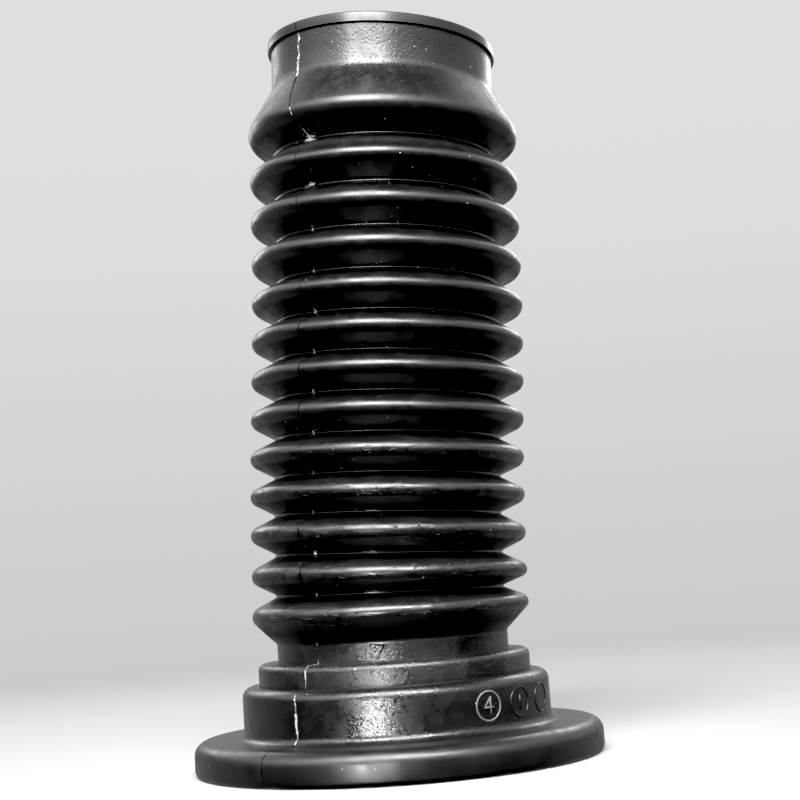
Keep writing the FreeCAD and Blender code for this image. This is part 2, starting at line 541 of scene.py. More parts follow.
@dataclass(frozen=True)
class Seam:
    """A parting line of the mould: the azimuth that it runs down, which steps aside at the cuff."""

    azimuth_degrees: float = -39.6
    cuff_step_degrees: float = -8.0
    cuff_step_span: Span = (0.172, 0.190)
    wander_degrees: float = 0.7
    wander_pace: float = 90.0

    def azimuth(self, height: float) -> float:
        """The line's place at a height.

        Args:
            height: The height on the straight moulding.

        Returns:
            The azimuth in radians.
        """
        step = self.cuff_step_degrees * smoothstep(*self.cuff_step_span, height)
        drawn = noise.noise(Vector((height * self.wander_pace, self.azimuth_degrees, 0.0)))
        return math.radians(self.azimuth_degrees + step + self.wander_degrees * drawn)


@dataclass(frozen=True)
class Wear:
    """How uneven the soft wall is, and how scuffed its lower crests are."""

    lump_depth: float = 0.00013
    lump_length: float = 0.016
    nick_depth: float = 0.00045
    nick_length: float = 0.0026
    nick_start: float = 0.14
    worn_below: float = 0.075
    clean_above: float = 0.100
    clean_share: float = 0.15
    chip_height: float = 0.0006
    chip_length: float = 0.007
    chip_start: float = 0.1
    chip_margin: float = 0.0002

    def push(self, point: Vector, crest: float) -> float:
        """How far a point of the wall lies outside its true radius.

        Args:
            point: The point on the straight moulding.
            crest: How near the point is to a crest, from 0 to 1.

        Returns:
            The distance, negative where the wall is dented.
        """
        lump = self.lump_depth * noise.noise(point / self.lump_length)
        low = 1.0 - smoothstep(self.worn_below, self.clean_above, point.z)
        worn = self.clean_share + (1.0 - self.clean_share) * low
        cut = max(0.0, noise.noise(point / self.nick_length) - self.nick_start)
        return lump - self.nick_depth * crest * worn * cut / (1.0 - self.nick_start)

    def chip(self, point: Vector) -> float:
        """How far the flange's lower edge is chipped up at a point."""
        return self.chip_height * max(0.0, noise.noise(point / self.chip_length) - self.chip_start)


@dataclass
class Moulded(ABC):
    """A part of the moulding, which makes its own pieces and dresses them."""

    wall: Wall
    stance: Stance
    finish: Finish

    @abstractmethod
    def build(self) -> list[bpy.types.Object]:
        """Models and dresses the pieces."""

    def piece(
        self, name: str, mesh: bmesh.types.BMesh, finish: Finish | None = None
    ) -> bpy.types.Object:
        """Makes a finished mesh a piece of the boot, which rides with it.

        Args:
            name: The piece's name.
            mesh: The mesh, which is freed.
            finish: The piece's finish, where it isn't the one of its class.

        Returns:
            The dressed piece.
        """
        made = add_object(name, mesh)
        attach(made, BODY)
        made.data.materials.append((finish or self.finish).material())
        return made


@dataclass
class BootSkin(Moulded):
    """The boot's whole wall, outside and inside, as one closed skin."""

    seam: Seam
    wear: Wear = Wear()
    columns: int = 184
    stride: float = 0.0042
    crease_degrees: float = 38.0
    fold_start: Span = (0.0, 0.002)
    fold_end: Span = (0.002, 0.006)
    crest_start: Span = (-0.0024, -0.0004)
    valley_end: Span = (0.0, 0.0014)

    def build(self) -> list[bpy.types.Object]:
        """Models and dresses the skin.

        Returns:
            The one piece, which replaces the plain solid.
        """
        mesh = bmesh.new()
        self._draw_section(mesh)
        self._turn(mesh)
        self._map(mesh)
        self._roughen(mesh)
        for vertex in mesh.verts:
            vertex.co = self.stance.place(vertex.co)
        self._smooth(mesh)
        skin = self.piece("boot_skin", mesh)
        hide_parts(NODE)
        return [skin]

    def _draw_section(self, mesh: bmesh.types.BMesh) -> None:
        """Draws the wall's closed section, and notes which of its vertices lie outside.

        Args:
            mesh: The empty mesh.
        """
        outside = mesh.verts.layers.float.new("outside")
        outer = Belt(self.wall.outer_pegs()).draw(mesh, self.stride)
        for vertex in outer:
            vertex[outside] = 1.0
        inner = Belt(self.wall.inner_pegs()).draw(mesh, self.stride)
        mesh.edges.new((outer[0], inner[0]))
        mesh.edges.new((outer[-1], inner[-1]))

    def _turn(self, mesh: bmesh.types.BMesh) -> None:
        """Turns the section once round the axis, from the rear parting line.

        Args:
            mesh: The mesh, which holds the section.
        """
        start = Matrix.Rotation(math.radians(self.seam.azimuth_degrees + 90.0), 3, "Z")
        bmesh.ops.rotate(mesh, verts=mesh.verts, cent=(0.0, 0.0, 0.0), matrix=start)
        spin_round(mesh, math.tau, self.columns)
        bmesh.ops.recalc_face_normals(mesh, faces=mesh.faces)

    def _map(self, mesh: bmesh.types.BMesh) -> None:
        """Maps the wall by its run round the axis and its height, joined at the rear parting line.

        Args:
            mesh: The turned wall.
        """
        layer = mesh.loops.layers.uv.new(RUN_LAYER)
        start = math.radians(self.seam.azimuth_degrees + 180.0)
        for face in mesh.faces:
            middle = (azimuth_of(face.calc_center_median()) - start) % math.tau
            for loop in face.loops:
                turn = (azimuth_of(loop.vert.co) - start) % math.tau
                turn += math.tau * round((middle - turn) / math.tau)
                loop[layer].uv = (turn * self.wall.crest_radius, loop.vert.co.z)

    def _zones(self, point: Vector, outside: float) -> tuple[float, float, float, float]:
        """How far a point of the wall belongs to each zone.

        Args:
            point: The point on the straight moulding.
            outside: 1 on the outer side of the wall, and 0 on the inner side.

        Returns:
            A share for each zone, in the order of Zone, and a full alpha.
        """
        wall = self.wall
        radius = math.hypot(point.x, point.y)
        folds = outside * rise_past(wall.neck_top, self.fold_start, point.z)
        folds *= 1.0 - rise_past(wall.shoulder_crest, self.fold_end, point.z)
        crest = folds * rise_past(wall.crest_radius, self.crest_start, radius)
        valley = folds * (1.0 - rise_past(wall.valley_radius, self.valley_end, radius))
        return crest, valley, outside * (1.0 - folds), 1.0

    def _roughen(self, mesh: bmesh.types.BMesh) -> None:
        """Notes the zones and makes the wall as uneven as soft rubber is.

        Args:
            mesh: The turned wall.
        """
        zones = mesh.verts.layers.float_color.new(ZONE_LAYER)
        outside = mesh.verts.layers.float["outside"]
        foot = self.wall.flange_foot_round
        edge = self.wall.flange_radius - foot - self.wear.chip_margin
        for vertex in mesh.verts:
            point = vertex.co.copy()
            shares = self._zones(point, vertex[outside])
            vertex[zones] = shares
            radial = Vector((point.x, point.y, 0.0)).normalized()
            vertex.co += radial * self.wear.push(point, shares[Zone.CREST.value])
            if point.z < foot and math.hypot(point.x, point.y) > edge:
                vertex.co.z += self.wear.chip(point)

    def _smooth(self, mesh: bmesh.types.BMesh) -> None:
        """Shades the wall smooth and keeps its sharp corners sharp.

        Args:
            mesh: The wall as it stands.
        """
        mesh.normal_update()
        for face in mesh.faces:
            face.smooth = True
        crease = math.radians(self.crease_degrees)
        for edge in mesh.edges:
            edge.smooth = edge.calc_face_angle(0.0) < crease


@dataclass(frozen=True)
class Ridge:
    """How the flash stands on one stretch of the parting line."""

    stand: float
    half_width: float
    torn: float


@dataclass
class PartingFlash(Moulded):
    """The thin rubber that was squeezed out where the mould's halves met, and torn off by hand."""

    name: str
    seam: Seam
    stride: float = 0.0007
    sunk: float = 0.00012
    row_angle: float = 0.01
    row_gaps: int = 2
    slope_reach: int = 3
    tear_length: float = 0.0018
    shred_length: float = 0.0008
    gap_length: float = 0.0030
    least_tear: float = 0.25
    tear_gain: float = 1.1
    gap_depth: float = 0.8
    gap_span: Span = (-0.25, 0.15)
    raggedness: float = 0.7
    kept_edge: float = 0.4
    kept_from: float = 0.95
    cuff_foot: float = 0.0030
    # Stretches with little or no torn share take the flash's flat black: painted shade of the parting
    # line's slit.
    fine: Ridge = Ridge(0.00014, 0.00020, 0.1)
    side: Ridge = Ridge(0.00020, 0.00048, 0.0)
    slit: Ridge = Ridge(0.00010, 0.00060, 0.0)
    thick: Ridge = Ridge(0.00065, 0.00062, 1.0)
    step_edge: Ridge = Ridge(0.00045, 0.00040, 1.0)
    crest_edge: Ridge = Ridge(0.00012, 0.00034, 0.0)
    collar_edge: Ridge = Ridge(0.00070, 0.00046, 1.0)
    valley_nib: Ridge = Ridge(0.00090, 0.00065, 1.0)
    top_nib: Ridge = Ridge(0.00230, 0.00240, 1.0)
    slant: Ridge = Ridge(0.00040, 0.00032, 0.8)

    def ridge_at(self, radius: float, height: float) -> Ridge:
        """How the flash stands at a point of the outer wall.

        Args:
            radius: The point's distance from the axis.
            height: The point's height.

        Returns:
            The ridge of its stretch, each of which ends just above or below a corner of the wall.
        """
        wall = self.wall
        levels: list[tuple[float, Ridge]] = [
            (wall.flange_thickness - 0.0005, self.side),
            (wall.flange_thickness + 0.0005, self.slit),
            (wall.collar_top - 0.0010, self.collar_edge),
            (wall.collar_top + 0.0005, self.fine),
            (wall.neck_top - 0.0002, self.step_edge),
            (wall.valleys[-1] + 0.0008, self._fold_ridge(radius, height)),
            (wall.shoulder_crest + 0.0020, self.slant),
            (wall.cone_top - self.cuff_foot, self.slit),
            (wall.rim_foot - 0.0003, self.thick),
        ]
        return next((ridge for top, ridge in levels if height < top), self.fine)

    def _fold_ridge(self, radius: float, height: float) -> Ridge:
        """How the flash stands on the folds: as nibs in the valleys, and as an edge elsewhere.

        Args:
            radius: The point's distance from the axis.
            height: The point's height.

        Returns:
            The ridge there.
        """
        wall = self.wall
        if radius < wall.valley_radius + 0.0009:
            return self.top_nib if height > wall.valleys[-2] - 0.0020 else self.valley_nib
        return self.crest_edge if radius > wall.crest_radius - 0.0015 else self.fine

    def build(self) -> list[bpy.types.Object]:
        """Models and dresses the flash.

        Returns:
            The one piece, a closed ragged ridge that is sunk into the wall.
        """
        mesh = bmesh.new()
        lift = mesh.verts.layers.float_vector.new("lift")
        shape = mesh.verts.layers.float_vector.new("shape")
        trail = Belt(self.wall.outer_pegs()[1:-1]).draw(mesh, self.stride)
        for index, vertex in enumerate(trail):
            before = trail[max(0, index - self.slope_reach)]
            after = trail[min(len(trail) - 1, index + self.slope_reach)]
            along = (after.co - before.co).normalized()
            ridge = self.ridge_at(vertex.co.x, vertex.co.z)
            vertex[lift] = Vector((along.z, 0.0, -along.x))
            vertex[shape] = Vector((ridge.stand, ridge.half_width, ridge.torn))
        spin_round(mesh, self.row_gaps * self.row_angle, self.row_gaps)
        across = {edge for edge in mesh.edges if len({self._row(vertex) for vertex in edge.verts}) > 1}
        self._raise(mesh, lift, shape)
        self._close(mesh, across)
        return [self.piece(self.name, mesh)]

    def _row(self, vertex: bmesh.types.BMVert) -> int:
        """The row of the flat ribbon that a vertex stands in: -1, 0 (the ridge) or 1."""
        return round(math.atan2(vertex.co.y, vertex.co.x) / self.row_angle) - 1

    def _whole(self, base: Vector) -> float:
        """How whole the torn edge is at a place of the line, from 0 in a gap to 1."""
        return smoothstep(*self.gap_span, noise.noise(base / self.gap_length))

    def _stand(self, shape: Vector, base: Vector) -> float:
        """How high the ridge stands.

        Args:
            shape: The stretch's stand, half width and torn share.
            base: The place on the line.

        Returns:
            The height above the wall.
        """
        stand, _, torn = shape
        drawn = noise.noise(base / self.tear_length), noise.noise(base / self.shred_length)
        tear = 0.5 + 0.3 * drawn[0] + 0.3 * drawn[1]
        gap = torn * self.gap_depth * (1.0 - self._whole(base))
        return stand * (self.least_tear + self.tear_gain * tear * tear) * (1.0 - gap)

    def _aside(self, shape: Vector, base: Vector, row: int) -> float:
        """How far a row runs aside of the parting line.

        Args:
            shape: The stretch's stand, half width and torn share.
            base: The place on the line.
            row: The row.

        Returns:
            The distance along the wall, with each ragged pattern drawn from a place of its own.
        """
        _, half_width, torn = shape
        drawn = noise.noise(base / self.tear_length + Vector((2.0, 9.0, 4.0 * row)))
        sway = noise.noise(base / self.gap_length + Vector((1.0, 5.0, 2.0)))
        if row == 0:
            sway += noise.noise(base / self.tear_length + Vector((7.0, 3.0, 1.0)))
        return half_width * (row * (1.0 + self.raggedness * torn * drawn) + torn * sway)

    def _raise(self, mesh: bmesh.types.BMesh, lift: Any, shape: Any) -> None:
        """Gives the ribbon its ragged height, and lays it on the wall along the parting line.

        Args:
            mesh: The flat ribbon.
            lift: The layer that holds the wall's outward direction.
            shape: The layer that holds each stretch's stand, half width and torn share.
        """
        torn_layer = mesh.verts.layers.float_color.new(TORN_LAYER)
        for vertex in mesh.verts:
            radius, height = math.hypot(vertex.co.x, vertex.co.y), vertex.co.z
            row = self._row(vertex)
            torn = vertex[shape].z
            base = Vector((radius, height, self.seam.azimuth_degrees))
            out = self._stand(vertex[shape], base) if row == 0 else -self.sunk
            azimuth = self.seam.azimuth(height) + self._aside(vertex[shape], base, row) / radius
            kept = self.kept_edge if torn > self.kept_from else 0.0
            edge = torn * (kept + (1.0 - kept) * self._whole(base)) if row == 0 else 0.0
            vertex[torn_layer] = (edge, edge, edge, 1.0)
            place = polar(azimuth, radius + vertex[lift].x * out, height + vertex[lift].z * out)
            vertex.co = self.stance.place(place)

    @staticmethod
    def _close(mesh: bmesh.types.BMesh, across: set[bmesh.types.BMEdge]) -> None:
        """Closes the ribbon underneath and at its four-sided ends.

        Args:
            mesh: The raised ribbon.
            across: The edges that lie across it.
        """
        sides = [edge for edge in mesh.edges if edge.is_boundary and edge not in across]
        bmesh.ops.bridge_loops(mesh, edges=sides)
        bmesh.ops.holes_fill(mesh, edges=[edge for edge in mesh.edges if edge.is_boundary], sides=4)
        shade_smooth(mesh)


@dataclass
class MouldMarks(Moulded):
    """The marks of three round inserts of the mould on the collar, the first of them paler."""

    pale_finish: Finish
    azimuths: Place = (31.8, 47.3, 62.7)
    height: float = 0.0161
    ring_radius: float = 0.0038
    ring_steps: int = 64
    line: float = 0.00027
    four: tuple[Stroke, ...] = (
        ((-0.0013, -0.0004), (0.0015, -0.0004)),
        ((0.0006, -0.0020), (0.0006, 0.0022)),
        ((0.0006, 0.0022), (-0.0013, -0.0004)),
    )
    one: tuple[Stroke, ...] = (((0.0, -0.0018), (0.0, 0.0018)),)

    def build(self) -> list[bpy.types.Object]:
        """Models and dresses the rings, and the plain figures in the first two.

        Returns:
            One piece for each ring with what it holds.
        """
        pieces = []
        figures = (self.four, self.one, ())
        marks = zip(self.azimuths, figures, (self.pale_finish, self.finish, self.finish))
        for number, (azimuth, strokes, finish) in enumerate(marks, start=1):
            mesh = bmesh.new()
            self._ring(mesh)
            for start, end in strokes:
                ends = Vector((*start, 0.0)), Vector((*end, 0.0))
                add_rod(mesh, *ends, (self.line, self.line), self.line)
            self._wrap(mesh, math.radians(azimuth))
            shade_smooth(mesh)
            pieces.append(self.piece(f"insert_mark_{number}", mesh, finish))
        return pieces

    def _ring(self, mesh: bmesh.types.BMesh) -> None:
        """Draws the ring flat, as a fine round bead.

        Args:
            mesh: The empty mesh.
        """
        bead = bmesh.ops.create_circle(mesh, segments=ROD_SIDES, radius=self.line)["verts"]
        upright = Matrix.Rotation(math.pi / 2.0, 3, "X")
        bmesh.ops.rotate(mesh, verts=bead, cent=(0.0, 0.0, 0.0), matrix=upright)
        bmesh.ops.translate(mesh, verts=bead, vec=(self.ring_radius, 0.0, 0.0))
        spin_round(mesh, math.tau, self.ring_steps)

    def _wrap(self, mesh: bmesh.types.BMesh, azimuth: float) -> None:
        """Wraps a flat mark round the collar.

        Args:
            mesh: The mark.
            azimuth: Its place in radians.
        """
        radius = self.wall.collar_radius
        for vertex in mesh.verts:
            across, up, out = vertex.co
            place = polar(azimuth + across / radius, radius + out, self.height + up)
            vertex.co = self.stance.place(place)


@dataclass
class FlowMark(Moulded):
    """The short cleft at the neck's top, where the rubber didn't quite flow together, drawn in flat
    black with almost no reflection: painted shade of the cleft.

    A bead is given by its thick end and its point, each by the azimuth in degrees and the height from
    the neck's top.
    """

    beads: tuple[Stroke, ...] = (
        ((-5.5, -0.0004), (-9.5, -0.0046)),
        ((-6.0, -0.0008), (-12.5, -0.0002)),
    )
    half_width: float = 0.00030
    taper: float = 0.15
    flatness: float = 0.5

    def build(self) -> list[bpy.types.Object]:
        """Models and dresses the cleft.

        Returns:
            The one piece, two tapered beads that meet at the neck's top.
        """
        mesh = bmesh.new()
        radius, top = self.wall.neck_radius, self.wall.neck_top
        radii = (self.half_width, self.half_width * self.taper)
        for bead in self.beads:
            thick, point = (polar(math.radians(turn), radius, top + up) for turn, up in bead)
            for vertex in add_rod(mesh, thick, point, radii):
                outward = Vector((vertex.co.x, vertex.co.y, 0.0))
                pressed = radius + (outward.length - radius) * self.flatness
                place = outward.normalized() * pressed + Vector((0.0, 0.0, vertex.co.z))
                vertex.co = self.stance.place(place)
        bmesh.ops.recalc_face_normals(mesh, faces=mesh.faces)
        return [self.piece("neck_flow_mark", mesh)]


class Wire:
    """A value in a node tree, with which sums are written as with a number."""

    def __init__(self, graph: Graph, socket: bpy.types.NodeSocket) -> None:
        """Wraps the socket that gives the value."""
        self.graph = graph
        self.socket = socket

    def __add__(self, other: Value) -> Wire:
        """The sum with another value."""
        return self.graph.math("ADD", self, other)

    __radd__ = __add__

    def __mul__(self, other: Value) -> Wire:
        """The product with another value."""
        return self.graph.math("MULTIPLY", self, other)

    __rmul__ = __mul__

    def __sub__(self, other: Value) -> Wire:
        """This value less another."""
        return self.graph.math("SUBTRACT", self, other)

    def __rsub__(self, other: Value) -> Wire:
        """Another value less this one."""
        return self.graph.math("SUBTRACT", other, self)

    def rise(self, low: float, high: float) -> Wire:
        """A smooth rise.

        Args:
            low: Where it starts from 0.
            high: Where it reaches 1.

        Returns:
            The risen value.
        """
        settings = {"interpolation_type": "SMOOTHSTEP"}
        inputs = {"Value": self, "From Min": low, "From Max": high}
        return self.graph.node("ShaderNodeMapRange", settings, inputs)["Result"]

    def between(self, low: float, high: float, soft: float = 0.0006) -> Wire:
        """A stretch that is 1 where this value lies between low and high, with soft ends."""
        return self.rise(low - soft, low + soft) * (1.0 - self.rise(high - soft, high + soft))


Value = Wire | float


class Outputs:
    """A node's outputs by name."""

    def __init__(self, graph: Graph, node: bpy.types.Node) -> None:
        """Wraps the node."""
        self.graph = graph
        self.node = node

    def __getitem__(self, name: str | int) -> Wire:
        """The output of that name or number."""
        return Wire(self.graph, self.node.outputs[name])


class Graph:
    """A node tree that is filled from nothing."""

    def __init__(self, tree: bpy.types.NodeTree) -> None:
        """Empties the tree."""
        self.tree = tree
        tree.nodes.clear()

    def node(
        self,
        kind: str,
        settings: dict[str, Any] | None = None,
        inputs: dict[str | int, Any] | None = None,
    ) -> Outputs:
        """Adds a node.

        Args:
            kind: The node's type.
            settings: The node's own settings, which are made first.
            inputs: A value or a link for each named or numbered input.

        Returns:
            The node's outputs.
        """
        node = self.tree.nodes.new(kind)
        for name, value in (settings or {}).items():
            setattr(node, name, value)
        for name, value in (inputs or {}).items():
            if isinstance(value, Wire):
                self.tree.links.new(value.socket, node.inputs[name])
            else:
                node.inputs[name].default_value = value
        return Outputs(self, node)

    def math(self, operation: str, first: Value, second: Value) -> Wire:
        """The result of a sum with two values."""
        return self.node("ShaderNodeMath", {"operation": operation}, {0: first, 1: second})[0]

    def highest(self, first: Value, second: Value) -> Wire:
        """The higher of two values."""
        return self.math("MAXIMUM", first, second)

    def parts(self, vector: Wire) -> Outputs:
        """The X, Y and Z of a vector."""
        return self.node("ShaderNodeSeparateXYZ", None, {"Vector": vector})

    def mix(self, share: Value, first: Any, second: Any) -> Wire:
        """The blend of two colours."""
        settings = {"data_type": "RGBA", "clamp_factor": True}
        return self.node("ShaderNodeMix", settings, {0: share, 6: first, 7: second})[2]

    def noise(self, place: Wire, length: float, detail: float, roughness: float) -> Wire:
        """Cloudy noise whose lumps have about that length."""
        inputs = {"Vector": place, "Scale": 1.0 / length, "Detail": detail, "Roughness": roughness}
        return self.node("ShaderNodeTexNoise", None, inputs)["Fac"]

    def grooves(self, along: Wire, scale: Place, detail: float, roughness: float) -> Wire:
        """Cloudy noise that is drawn out into grooves.

        Args:
            along: The run round the boot and the height.
            scale: The number of grooves in a metre, each way.
            detail: The number of finer layers.
            roughness: How strong those are.

        Returns:
            The noise.
        """
        inputs = {"Vector": along, "Scale": scale}
        stretched = self.node("ShaderNodeMapping", {"vector_type": "POINT"}, inputs)["Vector"]
        return self.noise(stretched, 1.0, detail, roughness)

    def cells(self, place: Wire, length: float) -> Outputs:
        """Cells of about that length, by the distance to their middle and a colour each."""
        inputs = {"Vector": place, "Scale": 1.0 / length}
        return self.node("ShaderNodeTexVoronoi", {"feature": "F1"}, inputs)


def grey(level: float) -> tuple[float, float, float, float]:
    """A neutral colour, very slightly cool."""
    return level, level, level * 1.03, 1.0


@dataclass(frozen=True)
class Finish(ABC):
    """A finish, by the name of its material."""

    name: str

    def material(self) -> bpy.types.Material:
        """Makes the material, once for all the pieces that have the finish.

        Returns:
            The material.
        """
        if self.name in bpy.data.materials:
            return bpy.data.materials[self.name]
        material = bpy.data.materials.new(self.name)
        material.use_nodes = True
        graph = Graph(material.node_tree)
        graph.node("ShaderNodeOutputMaterial", None, {"Surface": self.surface(graph)})
        return material

    @abstractmethod
    def surface(self, graph: Graph) -> Wire:
        """The finish's shader in that node tree."""


class RubberMap:
    """The stretches of the wall, and the rubber's patterns and traces of use, each from 0 to 1."""

    def __init__(self, graph: Graph, finish: RubberFinish) -> None:
        """Finds the stretches, and draws the patterns and traces.

        Args:
            graph: The node tree.
            finish: The finish, which says where they lie.
        """
        self.graph = graph
        place = graph.node("ShaderNodeTexCoord")["Object"]
        along = graph.node("ShaderNodeUVMap", {"uv_map": RUN_LAYER})["UV"]
        run_and_height = graph.parts(along)
        height = run_and_height["Y"]
        zones = graph.node("ShaderNodeVertexColor", {"layer_name": ZONE_LAYER})["Color"]
        shares = graph.node("ShaderNodeSeparateColor", None, {"Color": zones})
        self.crest, self.valley, self.plain = shares["Red"], shares["Green"], shares["Blue"]
        self.collar = height.between(*finish.collar_span)
        self.upright = height.between(*finish.upright_span)
        self.base = self.plain * (1.0 - height.rise(*finish.base_end))
        self.shoulder = height.rise(*finish.shoulder_start)
        self.cuff = height.between(*finish.cuff_span)

        self.mottle = graph.noise(place, 0.0045, 4.0, 0.62)
        self.leather = graph.noise(place, 0.0009, 3.0, 0.6)
        self.streaks = graph.grooves(along, finish.streak_scale, 3.0, 0.6)
        self.pits = 1.0 - graph.cells(place, 0.0011)["Distance"].rise(0.12, 0.34)
        self.specks = graph.noise(place, 0.00045, 2.0, 0.6)
        worn = self.crest * (1.0 - height.rise(*finish.clean_from))
        patches = graph.noise(place, 0.018, 2.0, 0.5).rise(0.48, 0.62)
        self.scuff = worn * self.streaks.rise(0.50, 0.72) * patches
        self.cuts = worn * graph.grooves(along, finish.cut_scale, 2.0, 0.5).rise(0.62, 0.70)
        wander = finish.gap_wander * (graph.noise(place, 0.0100, 3.0, 0.6) - 0.5)
        self.film = self._film(run_and_height["X"] + wander, finish.film_gaps)
        self.dust = self._dust(place)

    def _film(self, run: Wire, film_gaps: tuple[Span, Span]) -> Wire:
        """The grey film on the step and the neck.

        Args:
            run: The run round the boot, with a ragged wander.
            film_gaps: The runs of the two stretches where the film is missing, which stay darker.

        Returns:
            How thick the film is.
        """
        gapped = self.graph.highest(*(run.between(*span) for span in film_gaps))
        return self.upright * (1.0 - gapped) + 0.2 * (self.base - self.upright)

    def _dust(self, place: Wire) -> Wire:
        """Specks of dust, few on the open wall and many in the valleys.

        Args:
            place: The place on the boot.

        Returns:
            1 on a speck.
        """
        cells = self.graph.cells(place, 0.0016)
        chance = self.graph.node("ShaderNodeSeparateColor", None, {"Color": cells["Color"]})["Red"]
        picked = (chance + self.valley * 0.28).rise(0.960, 0.970)
        return (1.0 - cells["Distance"].rise(0.06, 0.11)) * picked


@dataclass(frozen=True)
class RubberFinish(Finish):
    """Moulded black rubber: glossy, mottled and pitted, with scuffed lower crests and some dust."""

    name: str = "moulded_rubber"
    # Painted shade: the folds' flanks and valleys keep this darkest tone and the crests and plain walls
    # get lighter ones, so that the undersides look black.
    tone: float = 0.0020
    plain_tone: float = 0.004
    crest_lit_tone: float = 0.006
    scuffed_tone: float = 0.045
    scuffed_share: float = 0.7
    film_tone: float = 0.012
    dust_tone: float = 0.60
    gloss: float = 0.18
    dull: float = 0.30
    scuff_dulls: float = 0.08
    plain_dulls: float = 0.03
    shoulder_dulls: float = 0.04
    film_dulls: float = 0.04
    cuts_dull: float = 0.40
    flank_dulls: float = 0.34
    flange_dulls: float = 0.10
    crest_dulls: float = 0.09
    dust_rough: float = 0.90
    specular: float = 0.55
    bump: float = 0.00004
    clean_from: Span = (0.070, 0.105)
    collar_span: Span = (0.0092, 0.0228)
    upright_span: Span = (0.0232, 0.0340)
    base_end: Span = (0.034, 0.040)
    shoulder_start: Span = (0.1660, 0.1700)
    cuff_span: Span = (0.1830, 0.2020)
    film_gaps: tuple[Span, Span] = ((0.098, 0.1175), (0.168, 0.186))
    gap_wander: float = 0.030
    streak_scale: Place = (260.0, 2600.0, 1.0)
    cut_scale: Place = (430.0, 1100.0, 1.0)

    def surface(self, graph: Graph) -> Wire:
        """The rubber's shader.

        Args:
            graph: The node tree.

        Returns:
            The shader's output.
        """
        rubber = RubberMap(graph, self)
        return graph.node("ShaderNodeBsdfPrincipled", None, {
            "Base Color": self._tone(rubber),
            "Roughness": self._roughness(rubber),
            "Specular IOR Level": self.specular,
            "Normal": self._normal(rubber),
        })["BSDF"]

    def _tone(self, rubber: RubberMap) -> Wire:
        """The rubber's colour, with painted shade: the folds' flanks and valleys keep the darkest tone,
        and the crests and plain walls are lighter.

        Args:
            rubber: Its map.

        Returns:
            The colour.
        """
        tone: Any = grey(self.tone)
        for share, level in (
            (rubber.plain, self.plain_tone),
            (rubber.crest, self.crest_lit_tone),
            (rubber.scuff * self.scuffed_share, self.scuffed_tone),
            (rubber.film, self.film_tone),
            (rubber.dust, self.dust_tone),
        ):
            tone = rubber.graph.mix(share, tone, grey(level))
        return tone

    def _roughness(self, rubber: RubberMap) -> Wire:
        """How dull the rubber is.

        Args:
            rubber: Its map.

        Returns:
            The roughness.
        """
        rough = self.gloss + (self.dull - self.gloss) * rubber.mottle.rise(0.40, 0.66)
        for share, added in (
            (rubber.scuff, self.scuff_dulls),
            (rubber.plain, self.plain_dulls),
            (rubber.shoulder, self.shoulder_dulls),
            (rubber.film, self.film_dulls),
            (rubber.cuts, self.cuts_dull),
            (1.0 - rubber.crest - rubber.valley - rubber.plain, self.flank_dulls),
            (rubber.base - rubber.collar - rubber.upright, self.flange_dulls),
            (rubber.crest, self.crest_dulls),
        ):
            rough += share * added
        return rubber.graph.highest(rough, rubber.dust * self.dust_rough)

    def _normal(self, rubber: RubberMap) -> Wire:
        """The fine relief of the rubber, with each pattern's depth in parts of the bump's height.

        Args:
            rubber: Its map.

        Returns:
            The surface's normal.
        """
        grain = 0.2 + 4.2 * rubber.upright + 0.9 * rubber.collar + 1.1 * rubber.cuff
        pitted = rubber.upright + rubber.collar + rubber.cuff
        relief = rubber.leather * grain + rubber.specks * rubber.collar
        relief += rubber.mottle * 0.6 - 0.8 * rubber.pits * pitted
        relief += 0.4 * rubber.streaks * (1.0 - rubber.plain)
        relief -= 0.5 * rubber.scuff + 2.5 * rubber.cuts
        inputs = {"Strength": 1.0, "Distance": self.bump, "Height": relief}
        return rubber.graph.node("ShaderNodeBump", None, inputs)["Normal"]


@dataclass(frozen=True)
class TornFinish(Finish):
    """Torn rubber flash, whose ragged edge is paler than the wall: the torn rubber's own grey together
    with a painted highlight where the flash faces the light. Where it isn't torn it is flat black with
    no reflection, as painted shade of the parting line's slit.
    """

    name: str = "torn_flash"
    tone: float = 0.002
    torn_grey_and_highlight_tone: float = 0.62
    dull: float = 0.75
    torn: float = 0.36

    def surface(self, graph: Graph) -> Wire:
        """The flash's shader.

        Args:
            graph: The node tree.

        Returns:
            The shader's output.
        """
        place = graph.node("ShaderNodeTexCoord")["Object"]
        torn = graph.node("ShaderNodeVertexColor", {"layer_name": TORN_LAYER})["Color"]
        share = graph.node("ShaderNodeSeparateColor", None, {"Color": torn})["Red"]
        ragged = graph.noise(place, 0.0008, 3.0, 0.6).rise(0.38, 0.56)
        # The ragged edge's pale colour is the torn rubber's grey together with a painted highlight.
        tone = graph.mix(share * ragged, grey(self.tone), grey(self.torn_grey_and_highlight_tone))
        rough = self.dull - (self.dull - self.torn) * share.rise(0.0, 0.3)
        dressed = {"Base Color": tone, "Roughness": rough}
        edge = graph.node("ShaderNodeBsdfPrincipled", None, dressed)["BSDF"]
        # Painted shade: the untorn flash is flat black with no reflection, standing for the dark slit
        # of the parting line.
        cleft = graph.node("ShaderNodeBsdfDiffuse", None, {"Color": grey(self.tone)})["BSDF"]
        inputs = {0: share.rise(0.0, 0.25), 1: cleft, 2: edge}
        return graph.node("ShaderNodeMixShader", None, inputs)[0]


@dataclass(frozen=True)
class MarkFinish(Finish):
    """A mark's rubber, in one even tone."""

    tone: float
    roughness: float
    specular: float = 0.5

    def surface(self, graph: Graph) -> Wire:
        """The mark's shader.

        Args:
            graph: The node tree.

        Returns:
            The shader's output.
        """
        return graph.node("ShaderNodeBsdfPrincipled", None, {
            "Base Color": grey(self.tone),
            "Roughness": self.roughness,
            "Specular IOR Level": self.specular,
        })["BSDF"]


